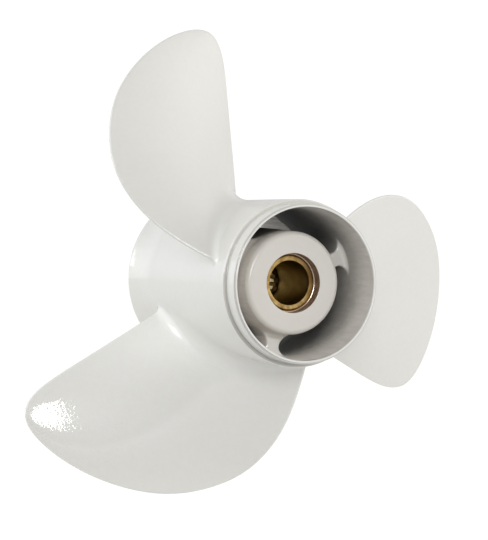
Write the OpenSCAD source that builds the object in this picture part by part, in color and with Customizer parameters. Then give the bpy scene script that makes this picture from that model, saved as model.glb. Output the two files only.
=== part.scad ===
// Three-blade through-hub outboard propeller with a bonded-rubber drive hub.
// Shaft axis along Y, +Y points aft, +Z is up. The origin is the centre of the
// splined sleeve's front face, which seats on the thrust washer of the shaft.
// Axial stations (names ending in _s) are measured aft from the plane of the
// forward rim of the barrel, along the same axis. Units: millimetres.

/* [Blades] */
// Diameter swept by the blade tips
diameter = 342.9; // [330:0.1:356]
// Face pitch, the advance of the blade face in one turn
pitch = 391; // [360:1:420]
// Number of blades
blades = 3; // [2:1:3]
// Axial station of the blade reference line at the hub
blade_s = 93.7; // [92:0.1:95]
// Rake of the blade, the aft shift per radius of growth
rake = 0.234; // [0.2:0.002:0.26]
// Section thickness at the hub
root_t = 10.5; // [9:0.1:12]
// Section thickness near the tip
tip_t = 3.6; // [3:0.1:4.5]
// Half thickness of the rounded blade edges
edge_r = 1.0; // [0.8:0.05:1.2]
// Fillet between the blades and the barrel
root_fillet = 8; // [5:0.5:9]

/* [Barrel] */
// Outer radius of the barrel just behind the pilot lip
barrel_r = 54.3; // [53.8:0.1:54.8]
// Length of the barrel from the forward rim to the flare rim
barrel_len = 149.2; // [146:0.1:152]
// Outer radius of the pilot lip that enters the gearcase outlet
lip_r = 51.9; // [51.5:0.05:52.1]
// Length of the pilot lip
lip_len = 11; // [9:0.5:13]
// Inner radius at the forward rim
mouth_r = 49.2; // [48.8:0.1:49.4]
// Outer radius of the flare rim
flare_r = 60.2; // [58:0.1:61]
// Wall thickness at the flare rim
rim_t = 5.2; // [3.5:0.1:6]
// Inner radius of the barrel at the middle of its length
wall_r = 48.5; // [48.2:0.1:48.7]

/* [Inner hub] */
// Axial station of the front face of the inner hub
hub_s = 18.3; // [16:0.1:20]
// Outer radius of the inner hub at its front face
hub_r = 33.6; // [33:0.1:34.2]
// Growth of the inner hub's outer radius toward its aft end
hub_growth = 3.0; // [1.5:0.1:3.2]
// Length of the inner hub
hub_len = 80; // [78:0.5:82]
// Radius of the hole in the front face
hole_r = 19.3; // [19.2:0.05:19.5]
// Thickness of the retaining shoulder in front of the rubber
shoulder_t = 14.5; // [12:0.5:16]
// Angle of the first web, counter-clockwise from +X seen from the front
web_angle = 20.2; // [0:0.1:60]
// Thickness of a web at its waist
web_t = 9.5; // [8:0.1:11]
// Axial station of the front edge of the webs
web_s = 33.5; // [31:0.5:36]
// Axial station of the aft edge of the webs
web_end = 79; // [74:0.5:84]

/* [Drive hub] */
// Outer radius of the rubber cushion
rubber_r = 26.5; // [25.5:0.1:27.5]
// Length of the rubber cushion
rubber_len = 57; // [52:0.5:60]
// Outer radius of the splined sleeve
sleeve_r = 19; // [18.9:0.05:19.05]
// Axial station of the front face of the sleeve
sleeve_s = 24.1; // [23:0.1:27]
// Length of the sleeve
sleeve_len = 78; // [76:0.5:80]
// Radius of the smooth pilot bore at the front of the sleeve
pilot_r = 14.4; // [14:0.05:15.2]
// Depth of the smooth pilot bore
pilot_len = 46; // [42:0.5:48]
// Number of spline teeth
teeth = 15; // [13:1:15]
// Radius at the bottom of the spline grooves
groove_r = 12.9; // [12.8:0.05:13.2]
// Radius at the tips of the spline teeth
tooth_r = 11.4; // [11.2:0.05:11.6]
// Running clearance on radius between the drive-hub layers
clear = 0.05; // [0.03:0.01:0.08]

/* [Hidden] */
$fn = 96;
tip_r = diameter / 2;
shoulder_s = hub_s + shoulder_t;

// ---- Blade outline ----
// Cubic B-spline control points from the trailing-edge root over the tip to
// the leading-edge root: [radius / tip radius, polar angle from +X toward +Z]
outline = [
    [0.35, 83.6], [0.58, 86.7], [0.78, 87.7], [0.93, 88.65],
    [1.025, 93.1], [0.996, 108.55], [0.9265, 126.1], [0.8265, 138.6],
    [0.711, 150.1], [0.521, 158.55], [0.35, 163]];
control = [for (q = outline) q[0] * [cos(q[1]), sin(q[1])]];
knots = concat([0, 0, 0], [for (i = [0:8]) i / 8], [1, 1, 1]);
function ratio(a, b) = b == 0 ? 0 : a / b;
function basis(i, degree, u) = degree == 0
    ? (knots[i] <= u && u < knots[i + 1] ? 1 : 0)
    : ratio(u - knots[i], knots[i + degree] - knots[i]) * basis(i, degree - 1, u)
      + ratio(knots[i + degree + 1] - u, knots[i + degree + 1] - knots[i + 1])
        * basis(i + 1, degree - 1, u);
function outline_at(u) = [for (i = [0:len(control) - 1]) basis(i, 3, u)] * control;

// Sampled outline as [radius, angle]; the basis is zero at u = 1, so stop short
edge_n = 320;
last_u = 0.9999999;
edge_pts = [for (j = [0:edge_n])
    let (q = outline_at(min(j / edge_n, last_u))) [norm(q), atan2(q[1], q[0])]];
edge_max = max([for (q = edge_pts) q[0]]);
edge_top = [for (j = [0:edge_n]) if (edge_pts[j][0] == edge_max) j][0];

// Edge angle against radius, scaled so that the outline peaks at tip_r
function edge_table(steps) =
    [for (j = steps) [edge_pts[j][0] * tip_r / edge_max, edge_pts[j][1]]];
trailing_edge = edge_table([0:edge_top]);
leading_edge = edge_table([edge_n:-1:edge_top]);

// ---- Blade face ----
// A raked helicoid whose pitch eases outward, bowed forward away from its
// reference angle and reference radius
ref_angle = 110;
ref_r = 74.1;
ref_span = 179;      // growth in radius that the next two values refer to
pitch_fall = 0.092;  // fraction of pitch lost over ref_span
radial_bow = 12.3;   // forward bow at ref_span from ref_r
angular_bow = 4.14;  // forward bow at one radian from ref_angle
function turn(angle) = (angle - ref_angle) * PI / 180;
function growth(r) = (r - ref_r) / ref_span;
function advance(r) = pitch / (2 * PI) * (1 - pitch_fall * growth(r));
function face_s(r, angle) = blade_s - advance(r) * turn(angle) + rake * (r - ref_r)
    - radial_bow * pow(growth(r), 2) - angular_bow * pow(turn(angle), 2);
// Change of face_s per radian
function face_slope(r, angle) = -advance(r) - 2 * angular_bow * turn(angle);

// ---- Blade sections ----
// Radial stations: inside the wall, the fillet, the working blade, the tip
work_r = barrel_r + root_fillet + 1.6;
tip_zone_r = 0.8 * tip_r + 1.6;
stations = concat(
    [barrel_r - 2.6, barrel_r - 0.8],
    [for (q = [15, 30, 45, 60, 75]) barrel_r + 0.3 + root_fillet * (1 - cos(q))],
    [for (i = [0:7]) work_r + i * (tip_zone_r - work_r) / 7],
    [for (q = [18, 31, 43, 54, 64, 72, 79]) tip_zone_r + (tip_r - tip_zone_r) * sin(q)],
    [tip_r - 0.55, tip_r - 0.15]);

// Outward growth of a section by the root fillet
function fillet_growth(r) = let (rise = min(max(r - barrel_r, 0), root_fillet))
    root_fillet - sqrt(pow(root_fillet, 2) - pow(root_fillet - rise, 2));
// Half thickness at a distance from a rounded edge
function half_round(dist) = dist >= edge_r
    ? edge_r
    : sqrt(max(0, pow(edge_r, 2) - pow(edge_r - dist, 2)));

// Chord stations as [fraction from the trailing edge, turn of the fillet].
// edge_steps are distances from either edge, reduced on narrow sections.
edge_steps = [0, 0.13, 0.5, 1.1];
inner_n = 9;
full_turn_width = 0.22;  // largest share of the chord for each set of edge steps
function chord_stations(width) =
    let (shrink = min(1, full_turn_width * width / edge_steps[3]),
         steps = [for (step = edge_steps) step * shrink / width])
    concat([for (i = [0:3]) [steps[i], i * 30]],
           [for (i = [1:inner_n]) [steps[3] + (1 - 2 * steps[3]) * i / (inner_n + 1), 90]],
           [for (i = [3:-1:0]) [1 - steps[i], 180 - i * 30]]);

// Points of one side of a section, from the trailing to the leading edge
full_bulge_width = 90;  // narrower sections bulge less
function section_row(r, aft) =
    let (start = lookup(r, trailing_edge),
         end = lookup(r, leading_edge),
         width = (end - start) * PI / 180 * norm([r, face_slope(r, (start + end) / 2)]),
         flare = fillet_growth(r),
         taper = half_round(tip_r - r) / edge_r,
         thick = root_t + (tip_t - root_t) * (r - barrel_r) / (tip_r - barrel_r),
         bulge = (thick - 2 * edge_r) * sqrt(min(1, width / full_bulge_width)))
    [for (c = chord_stations(width))
        let (angle = start + c[0] * (end - start),
             slope = face_slope(r, angle),
             unit = norm([r, slope]),
             half = half_round(min(c[0], 1 - c[0]) * width) * taper,
             along = -flare * cos(c[1]),
             off = aft ? half + flare * sin(c[1])
                 : -half - bulge * 4 * c[0] * (1 - c[0]) * taper - flare * sin(c[1]),
             polar = angle + (along * r - off * slope) / unit / r * 180 / PI,
             station = face_s(r, angle) + (along * slope + off * r) / unit)
        [r * cos(polar), station, r * sin(polar)]];

row_n = inner_n + 2 * len(edge_steps);
loop_n = 2 * row_n - 2;
// One closed loop per station: along the aft side, back along the forward side
function section_loop(r) = let (forward = section_row(r, false))
    concat(section_row(r, true), [for (i = [row_n - 2:-1:1]) forward[i]]);

// Triangles that close the loop starting at point first
function facing(tri, flip) = flip ? [tri[0], tri[2], tri[1]] : tri;
function cap(first, flip) = [for (i = [0:row_n - 2])
    let (aft = first + i, fore = first + loop_n - i)
    each concat(
        i < row_n - 2 ? [facing([aft, aft + 1, fore - 1], flip)] : [],
        i > 0 ? [facing([aft, fore - 1, fore], flip)] : [])];

// Two triangles for each step around the skin between neighbouring loops
function skin(k) = [for (i = [0:loop_n - 1])
    let (a = k * loop_n + i, b = k * loop_n + (i + 1) % loop_n)
    each [[a, b + loop_n, b], [a, a + loop_n, b + loop_n]]];

module blade() {
    last = len(stations) - 1;
    polyhedron(
        points = [for (r = stations) each section_loop(r)],
        faces = concat([for (k = [0:last - 1]) each skin(k)],
                       cap(0, false), cap(last * loop_n, true)),
        convexity = 8);
}

// ---- Turned and extruded shapes ----
// Revolves a profile of [radius, axial station] points
module turned(profile) {
    rotate([-90, 0, 0]) rotate_extrude() polygon(profile);
}

// Extrudes a cross-section aft from a station
module extruded(from_s, length) {
    translate([0, from_s, 0]) rotate([-90, 0, 0]) linear_extrude(height = length) children();
}

// ---- Barrel ----
flare_len = 24;
flare_s = barrel_len - flare_len;
waist_r = barrel_r - 0.7;  // outer radius where the flare starts
rim_r = flare_r - rim_t;   // inner radius of the flare rim
// Points between the ends of a flare curve, in eighths of its length
function flare_curve(start_r, end_r, eighths) = [for (i = eighths)
    [start_r + (end_r - start_r) * pow(i / 8, 1.9), flare_s + flare_len * i / 8]];

module barrel() {
    turned(concat(
        [[mouth_r, 1.0], [mouth_r + 0.5, 0.25], [mouth_r + 1.1, 0],
         [lip_r - 0.9, 0], [lip_r - 0.3, 0.25], [lip_r, 0.9],
         [lip_r, lip_len], [barrel_r - 0.6, lip_len],
         [barrel_r - 0.15, lip_len + 0.4], [barrel_r, lip_len + 1.2],
         [waist_r, flare_s]],
        flare_curve(waist_r, flare_r, [1:7]),
        [[flare_r - 0.1, barrel_len - 1.0], [flare_r - 0.7, barrel_len - 0.1],
         [rim_r + 0.8, barrel_len], [rim_r, barrel_len - 0.8]],
        flare_curve(wall_r + 2, rim_r, [7:-1:1]),
        [[wall_r + 1.9, flare_s], [wall_r + 0.8, web_end],
         [wall_r, web_end], [wall_r + 0.1, web_s]]));
}

// ---- Inner hub and webs ----
hub_end = hub_s + hub_len;
hub_end_r = hub_r + hub_growth;
bore_r = rubber_r + clear;

module inner_hub() {
    turned([
        [hole_r, hub_s + 0.3], [hole_r + 0.3, hub_s],
        [hub_r - 3.6, hub_s], [hub_r - 2.0, hub_s + 0.35], [hub_r - 0.9, hub_s + 1.1],
        [hub_r - 0.25, hub_s + 2.3], [hub_r, hub_s + 3.8],
        [hub_end_r, hub_end - 1.5], [hub_end_r - 1.5, hub_end],
        [bore_r + 1.2, hub_end], [bore_r, hub_end - 1.2],
        [bore_r, shoulder_s], [hole_r, shoulder_s]]);
}

web_n = 3;
web_foot_r = hub_r + 0.9;
web_mid = (web_foot_r + wall_r) / 2;
web_fillet = (wall_r - web_foot_r) / 2 + 0.1;
web_in_r = hub_r - 2;     // buried in the inner hub
web_out_r = wall_r + 1.5; // buried in the barrel wall

// A radial web along +X, waisted by a round hollow on either side
module web() {
    extruded(web_s, web_end - web_s)
        difference() {
            translate([web_in_r, -web_t / 2 - web_fillet])
                square([web_out_r - web_in_r, web_t + 2 * web_fillet]);
            for (side = [-1, 1])
                translate([web_mid, side * (web_t / 2 + web_fillet)]) circle(r = web_fillet);
        }
}

module propeller_casting() {
    color([0.9, 0.9, 0.88]) translate([0, -sleeve_s, 0]) union() {
        barrel();
        inner_hub();
        for (i = [0:web_n - 1]) rotate([0, -web_angle - 360 / web_n * i, 0]) web();
        for (i = [0:blades - 1]) rotate([0, 360 / blades * i, 0]) blade();
    }
}

// ---- Drive hub ----
rubber_s = shoulder_s + 0.2;
rubber_end = rubber_s + rubber_len;

module rubber_cushion() {
    color([0.13, 0.13, 0.13]) translate([0, -sleeve_s, 0]) turned([
        [sleeve_r + clear, rubber_s + 1.4], [sleeve_r + 1.2, rubber_s + 0.8],
        [rubber_r - 1.5, rubber_s], [rubber_r, rubber_s + 1.5],
        [rubber_r, rubber_end - 1.5], [rubber_r - 1.5, rubber_end],
        [sleeve_r + 1.2, rubber_end - 1.2], [sleeve_r + clear, rubber_end - 2]]);
}

sleeve_end = sleeve_s + sleeve_len;
spline_s = sleeve_s + pilot_len;
groove_in_r = tooth_r - 1;  // the groove cutter starts inside the bore
groove_in_half = 1.7;       // half width of the cutter there
groove_half = 1.05;         // half width at the groove bottom

module spline_groove() {
    extruded(spline_s - 4, sleeve_len)
        polygon([[groove_in_r, -groove_in_half], [groove_r, -groove_half],
                 [groove_r, groove_half], [groove_in_r, groove_in_half]]);
}

module spline_sleeve() {
    color([0.72, 0.56, 0.25]) translate([0, -sleeve_s, 0]) difference() {
        turned([
            [pilot_r, sleeve_s],
            [sleeve_r - 1.0, sleeve_s], [sleeve_r, sleeve_s + 1.0],
            [sleeve_r, sleeve_end - 1.0], [sleeve_r - 1.0, sleeve_end],
            [groove_r + 0.6, sleeve_end], [tooth_r, sleeve_end - 2],
            [tooth_r, spline_s + 0.8], [pilot_r, spline_s - 2]]);
        for (i = [0:teeth - 1]) rotate([0, 360 / teeth * (i + 0.5), 0]) spline_groove();
    }
}

propeller_casting();
rubber_cushion();
spline_sleeve();
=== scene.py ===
"""A three-bladed boat propeller: painted casting, rubber cushion and splined brass sleeve.

The shaft axis lies along +Y with +Z up, and the forward end faces -Y. The three blades
repeat every 120 degrees; angles run from +X towards +Z. Shape sizes are in millimetres
and degrees. A station is a distance aft of the barrel's forward rim.
"""
import math
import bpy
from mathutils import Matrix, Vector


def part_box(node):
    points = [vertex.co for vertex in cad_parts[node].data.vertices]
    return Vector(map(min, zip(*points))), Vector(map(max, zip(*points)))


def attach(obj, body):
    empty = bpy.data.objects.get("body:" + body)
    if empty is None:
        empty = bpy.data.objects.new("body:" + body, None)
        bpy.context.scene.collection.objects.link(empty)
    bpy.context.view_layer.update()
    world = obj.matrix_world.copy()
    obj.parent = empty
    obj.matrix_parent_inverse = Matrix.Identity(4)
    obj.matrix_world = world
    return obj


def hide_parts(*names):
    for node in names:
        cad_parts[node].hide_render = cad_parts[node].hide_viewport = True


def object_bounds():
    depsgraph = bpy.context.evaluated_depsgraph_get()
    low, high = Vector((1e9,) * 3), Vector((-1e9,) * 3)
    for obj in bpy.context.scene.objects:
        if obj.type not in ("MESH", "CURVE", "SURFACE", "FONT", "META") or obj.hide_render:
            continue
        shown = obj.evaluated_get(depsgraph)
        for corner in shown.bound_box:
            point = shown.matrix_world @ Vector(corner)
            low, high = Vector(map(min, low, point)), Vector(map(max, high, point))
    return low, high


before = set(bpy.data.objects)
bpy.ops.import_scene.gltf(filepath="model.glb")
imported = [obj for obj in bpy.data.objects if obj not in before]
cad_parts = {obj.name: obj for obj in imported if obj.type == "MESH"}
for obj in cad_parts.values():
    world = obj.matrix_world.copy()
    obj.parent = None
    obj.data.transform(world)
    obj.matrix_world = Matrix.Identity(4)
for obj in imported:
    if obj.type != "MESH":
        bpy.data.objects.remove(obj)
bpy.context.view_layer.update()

from types import SimpleNamespace

import bpy
import bmesh
import numpy as np
from mathutils import Matrix, Vector
from mathutils.geometry import delaunay_2d_cdt

MM = 0.001

# ------------------------------------------------ sizes taken from the CAD
cast_lo, cast_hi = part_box("propeller_casting")
sleeve_lo, sleeve_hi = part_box("spline_sleeve")
rubber_lo, rubber_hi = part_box("rubber_cushion")
ORIGIN_S = -cast_lo.y / MM          # station of the frame's origin
LENGTH = (cast_hi.y - cast_lo.y) / MM
cad = np.array([v.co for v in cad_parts["propeller_casting"].data.vertices]) / MM
TIP_R = float(np.hypot(cad[:, 0], cad[:, 2]).max())
SLEEVE_S, SLEEVE_E = ORIGIN_S + sleeve_lo.y / MM, ORIGIN_S + sleeve_hi.y / MM
SLEEVE_R = sleeve_hi.x / MM
RUBBER_S, RUBBER_E = ORIGIN_S + rubber_lo.y / MM, ORIGIN_S + rubber_hi.y / MM
RUBBER_R = rubber_hi.x / MM

# In the names below _S is a start or a single station, _E an end station, _R a radius.
# blade
PITCH, RAKE = 391.0, 0.234
BLADE_S, BLADE_A, BLADE_R, BLADE_SPAN = 93.7, 110.0, 74.1, 179.0    # reference place, span
PITCH_DROP, TIP_BEND, CHORD_BEND = 0.092, 12.3, 4.14
ROOT_T, TIP_T = 10.5, 3.6           # thickness
ROOT_S, ROOT_W, LEAF_R = 75.0, 150.0, 72.0      # station and width at the root; free leaf's start
# barrel
BARREL_R, BARREL_TAPER, STEP_S = 54.3, 0.7, 12.2
FLARE_R, RIM_T, FLARE_LEN, FLARE_POWER = 60.2, 5.2, 24.0, 1.9
FLARE_S = LENGTH - FLARE_LEN
RIM_ROUND = 0.9
WALL_R, WALL_TAPER, WALL_TAPER_LEN = 49.25, 0.75, 76.0      # inside, forward of the ledge
LEDGE_S = 78.9
AFT_WALL_S, AFT_WALL_R, AFT_WALL_GROW, FLARE_IN_R = 79.3, 49.3, 1.2, 50.5
MOUTH_S = 1.15
# inner hub
HUB_S, HUB_E, HUB_R, HUB_END_R = 18.3, 98.3, 33.6, 36.6
HUB_TAPER_S, HUB_TAPER_LEN = 22.1, HUB_E - 23.6
HUB_FRONT_S, HUB_REAR_S = 22.4, 95.5            # where the rounded ends meet the taper
NOSE_ROUND, TAIL_ROUND = 3.6, 2.0
HOLE_R, SHOULDER_S, BORE_R = 19.3, 32.8, RUBBER_R + 0.05
# webs between hub and barrel
WEB_A, WEB_S, WEB_E = 20.2, 33.5, 76.0
WEB_HALF_W, WEB_SPREAD, WEB_ROUND = 4.75, 10.0, 1.3
HUB_FILLET, WALL_FILLET = 4.0, 3.0
# barrel skin between the blades
SKIN_S, SKIN_E = 14.0, 137.0
SEAM_FRONT_A, SEAM_REAR_A = 117.0, 12.0


# ------------------------------------------------------------ mesh builder
class Shape:
    """Vertices in (radius, angle, station), welded by position."""

    def __init__(self):
        self.points, self.faces, self.seen = [], [], {}

    def vertex(self, x, s, z):
        key = (round(x, 4), round(s, 4), round(z, 4))
        i = self.seen.get(key)
        if i is None:
            i = self.seen[key] = len(self.points)
            self.points.append((x, s, z))
        return i

    def polar(self, r, angle, s):
        angle = math.radians(angle)
        return self.vertex(r * math.cos(angle), s, r * math.sin(angle))

    def ring(self, r, s, angles):
        return [self.polar(r, angle, s) for angle in angles]

    def face(self, *corners):
        """Add a face, leaving out corners that were welded together."""
        kept = list(dict.fromkeys(corners))
        if len(kept) > 2:
            self.faces.append(tuple(kept))

    def strip(self, first, second, closed=True):
        count = len(first)
        for i in range(count if closed else count - 1):
            j = (i + 1) % count
            self.face(first[i], first[j], second[j], second[i])

    def loft(self, rings, closed=True):
        for first, second in zip(rings, rings[1:]):
            self.strip(first, second, closed)

    def build(self, name, slot, body, node, material, sharp_angle):
        """Make the smooth-shaded object, with edges above sharp_angle kept sharp."""
        mesh = bpy.data.meshes.new(name)
        points = np.array(self.points)
        points[:, 1] -= ORIGIN_S
        mesh.from_pydata((points * MM).tolist(), [], self.faces)
        bm = bmesh.new()
        bm.from_mesh(mesh)
        bmesh.ops.remove_doubles(bm, verts=bm.verts, dist=0.0008 * MM)
        bmesh.ops.recalc_face_normals(bm, faces=bm.faces)
        for edge in bm.edges:
            if len(edge.link_faces) == 2 and edge.calc_face_angle(0.0) > math.radians(sharp_angle):
                edge.smooth = False
        for face in bm.faces:
            face.smooth = True
        if bm.calc_volume(signed=True) < 0:
            bmesh.ops.reverse_faces(bm, faces=bm.faces)
        bm.to_mesh(mesh)
        bm.free()
        ob = bpy.data.objects.new(name, mesh)
        bpy.context.scene.collection.objects.link(ob)
        mesh.materials.append(material)
        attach(ob, body)
        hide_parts(node)


def arc(r0, s0, radius, start, end, steps):
    """Points of an arc in the (radius, station) plane, centre r0, s0."""
    turns = [math.radians(start + (end - start) * i / steps) for i in range(steps + 1)]
    return [(r0 + radius * math.cos(t), s0 + radius * math.sin(t)) for t in turns]


def xyz(r, angle, s):
    r, angle, s = np.broadcast_arrays(np.asarray(r, float), np.radians(angle), np.asarray(s, float))
    return np.stack([r * np.cos(angle), s, r * np.sin(angle)], -1)


# ---------------------------------------------------------- blade outline
# control points of the outline: radius as a share of the tip's, angle
OUTLINE = np.array([
    [0.35, 83.6], [0.58, 86.7], [0.78, 87.7], [0.93, 88.65], [1.025, 93.1], [0.996, 108.55],
    [0.9265, 126.1], [0.8265, 138.6], [0.711, 150.1], [0.521, 158.55], [0.35, 163]])
KNOTS = [0.0] * 3 + [i / 8 for i in range(9)] + [1.0] * 3
controls = np.c_[OUTLINE[:, 0] * np.cos(np.radians(OUTLINE[:, 1])),
                 OUTLINE[:, 0] * np.sin(np.radians(OUTLINE[:, 1]))]


def basis(i, degree, u):
    """B-spline basis function."""
    if degree == 0:
        return ((KNOTS[i] <= u) & (u < KNOTS[i + 1])).astype(float)
    total = 0.0
    start, before_end, after_start, end = KNOTS[i], KNOTS[i + degree], KNOTS[i + 1], KNOTS[i + degree + 1]
    if before_end > start:
        total = total + (u - start) / (before_end - start) * basis(i, degree - 1, u)
    if end > after_start:
        total = total + (end - u) / (end - after_start) * basis(i + 1, degree - 1, u)
    return total


samples = np.clip(np.linspace(0, 1, 4001), 0, 0.99999999)
curve = sum(basis(i, 3, samples)[:, None] * controls[i] for i in range(11))
outline_r = np.hypot(curve[:, 0], curve[:, 1])
outline_r = outline_r * TIP_R / outline_r.max()
outline_a = np.degrees(np.arctan2(curve[:, 1], curve[:, 0]))
outermost = int(outline_r.argmax())


def edge_angle(r, radii, angles):
    """Angle of a blade edge, run on straight inside its first radius."""
    run = 60        # samples that set the straight part's slope
    slope = (angles[run] - angles[0]) / (radii[run] - radii[0])
    inner = angles[0] + slope * (r - radii[0])
    return np.where(r < radii[0], inner, np.interp(r, radii, angles))


def aft_edge(r):
    return edge_angle(r, outline_r[:outermost + 1], outline_a[:outermost + 1])


def fore_edge(r):
    return edge_angle(r, outline_r[outermost:][::-1], outline_a[outermost:][::-1])


# ---------------------------------------------------------- blade surface
def blade_place(r, angle):
    """Turn from the blade's reference angle in radians, and share of its span."""
    return np.radians(angle - BLADE_A), (r - BLADE_R) / BLADE_SPAN


def face_s(r, angle):
    """Station of the blade's base surface."""
    t, x = blade_place(r, angle)
    return (BLADE_S - PITCH / (2 * math.pi) * t * (1 - PITCH_DROP * x) + RAKE * BLADE_SPAN * x
            - TIP_BEND * x * x - CHORD_BEND * t * t)


def face_by_angle(r, angle):
    """Slope of face_s along the angle, per radian."""
    t, x = blade_place(r, angle)
    return -PITCH / (2 * math.pi) * (1 - PITCH_DROP * x) - 2 * CHORD_BEND * t


def face_by_radius(r, angle):
    """Slope of face_s along the radius."""
    t, x = blade_place(r, angle)
    return (PITCH / (2 * math.pi) * t * PITCH_DROP / BLADE_SPAN + RAKE
            - 2 * TIP_BEND * x / BLADE_SPAN)


def barrel_out(s):
    """Outer radius of the barrel, with its flared aft end."""
    s = np.asarray(s, float)
    flare = np.clip((s - FLARE_S) / FLARE_LEN, 0, 1)
    plain = BARREL_R - BARREL_TAPER * np.clip((s - STEP_S) / (FLARE_S - STEP_S), 0, 1)
    flared = (BARREL_R - BARREL_TAPER
              + (FLARE_R - BARREL_R + BARREL_TAPER) * flare ** FLARE_POWER)
    return np.where(s > FLARE_S, flared, plain)


# the outline in space, run on into the barrel at both ends
buried_r = np.linspace(46, outline_r[0], 40)[:-1]
line_r = np.r_[buried_r, outline_r, buried_r[::-1]]
line_a = np.r_[aft_edge(buried_r), outline_a, fore_edge(buried_r[::-1])]
EDGE_LINE = xyz(line_r, line_a, face_s(line_r, line_a))


def edge_distance(points):
    """Distance from each point to the blade outline."""
    block, skip = 400, 4        # points at a time; coarse search step
    result = np.empty(len(points))
    for k in range(0, len(points), block):
        part = points[k:k + block]
        coarse = ((part[:, None, :] - EDGE_LINE[None, ::skip]) ** 2).sum(-1)
        nearest = coarse.argmin(1) * skip
        best = np.full(len(part), 1e9)
        for offset in range(-5, 5):
            i = np.clip(nearest + offset, 0, len(EDGE_LINE) - 2)
            start = EDGE_LINE[i]
            along = EDGE_LINE[i + 1] - start
            squared = np.maximum((along ** 2).sum(-1), 1e-12)
            t = np.clip(((part - start) * along).sum(-1) / squared, 0, 1)
            best = np.minimum(best, np.linalg.norm(part - start - t[:, None] * along, axis=1))
        result[k:k + block] = best
    return result


# distances of the columns from a blade edge, crowded where it is rounded
EDGE_STEPS = np.array([0, 0.05, 0.17, 0.38, 0.68, 1.05, 1.7, 2.8, 4.6])
EDGE_COUNT, MID_COUNT = len(EDGE_STEPS), 44
COLUMNS = 2 * EDGE_COUNT + MID_COUNT


def chord(width):
    """Column places, as shares of the width, from aft to forward edge."""
    shrink = min(1.0, 0.38 * width / EDGE_STEPS[-1])
    edge = EDGE_STEPS * shrink / width
    middle = np.linspace(edge[-1], 1 - edge[-1], MID_COUNT + 2)[1:-1]
    return np.r_[edge, middle, (1 - edge)[::-1]]


# direction in which the root fillet spreads: square to the sides along the
# middle, turning to point past the edges
fillet_turn = np.full(COLUMNS, 90.0)
fillet_turn[:EDGE_COUNT] = 90.0 * np.arange(EDGE_COUNT) / (EDGE_COUNT - 1)
fillet_turn[-EDGE_COUNT:] = 180.0 - fillet_turn[:EDGE_COUNT][::-1]
fillet_turn = np.radians(fillet_turn)


def blade_loop(r, angle, share, width, spread=0.0):
    """One closed loop: a row of base points offset to the aft and forward faces."""
    dist = edge_distance(xyz(r, angle, face_s(r, angle)))
    edge_r = np.interp(r, [54, 80, TIP_R], [0.9, 0.95, 0.95])
    inset = np.clip(edge_r - dist, 0, None)
    half = np.sqrt(np.clip(edge_r * edge_r - inset * inset, 0, None))
    closing = np.clip(dist.max() / edge_r, 0, 1)
    full = np.interp(r, [BARREL_R, TIP_R], [ROOT_T, TIP_T]) - 2 * edge_r
    t = min(1.0, width / 130.0)
    bulge = (full * math.sqrt(t * (2 - t)) * 4 * share * (1 - share)
             * np.sqrt(np.clip(1 - (1 - closing) ** 2, 0, 1)))
    turn = np.radians(angle)
    by_angle, by_radius = face_by_angle(r, angle), face_by_radius(r, angle)
    normal = np.stack([by_angle * np.sin(turn) - r * by_radius * np.cos(turn), r,
                       -r * by_radius * np.sin(turn) - by_angle * np.cos(turn)], -1)
    normal /= np.linalg.norm(normal, axis=1)[:, None]
    length = np.sqrt(r ** 2 + by_angle ** 2)
    sides = []
    for side in (1, -1):
        across = side * spread * np.sin(fillet_turn)
        along = -spread * np.cos(fillet_turn)
        moved_a = angle + np.degrees((along * r - across * by_angle) / length / r)
        moved_s = face_s(r, angle) + (along * by_angle + across * r) / length
        offset = half if side > 0 else -half - bulge
        sides.append(xyz(r, moved_a, moved_s) + normal * offset[:, None])
    return loop_of(sides)


def loop_of(sides):
    return np.concatenate([sides[0], sides[1][-2:0:-1]])


def set_radius(points, r):
    scale = r / np.hypot(points[:, 0], points[:, 2])
    moved = points.copy()
    moved[:, 0] *= scale
    moved[:, 2] *= scale
    return moved


def root_loops():
    """Loops of the root fillet, and those easing from it into the free leaf."""
    loops = []
    share = chord(ROOT_W)
    foot_r = float(barrel_out(ROOT_S))
    fillet = 5.5 * (1 - share) + 4.0 * share + 26 * share * (1 - share)

    def row(r, spread=0.0):
        aft, fore = aft_edge(r), fore_edge(r)
        return blade_loop(r, aft + share * (fore - aft), share, ROOT_W, spread)

    for q in np.radians(np.linspace(0, 90, 14)):
        rise, spread = fillet * (1 - math.cos(q)), fillet * (1 - math.sin(q))
        loop = row(foot_r + rise, spread)
        wanted = barrel_out(loop[:, 1]) + loop_of((rise, rise))
        shift = wanted - np.hypot(loop[:, 0], loop[:, 2])
        loops.append(set_radius(loop, wanted))
    for t in (0.12, 0.26, 0.42, 0.6, 0.8):
        loop = row((foot_r + fillet) * (1 - t) + LEAF_R * t)
        fade = 1 - t * t * (3 - 2 * t)
        loops.append(set_radius(loop, np.hypot(loop[:, 0], loop[:, 2]) + shift * fade))
    return loops


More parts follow.
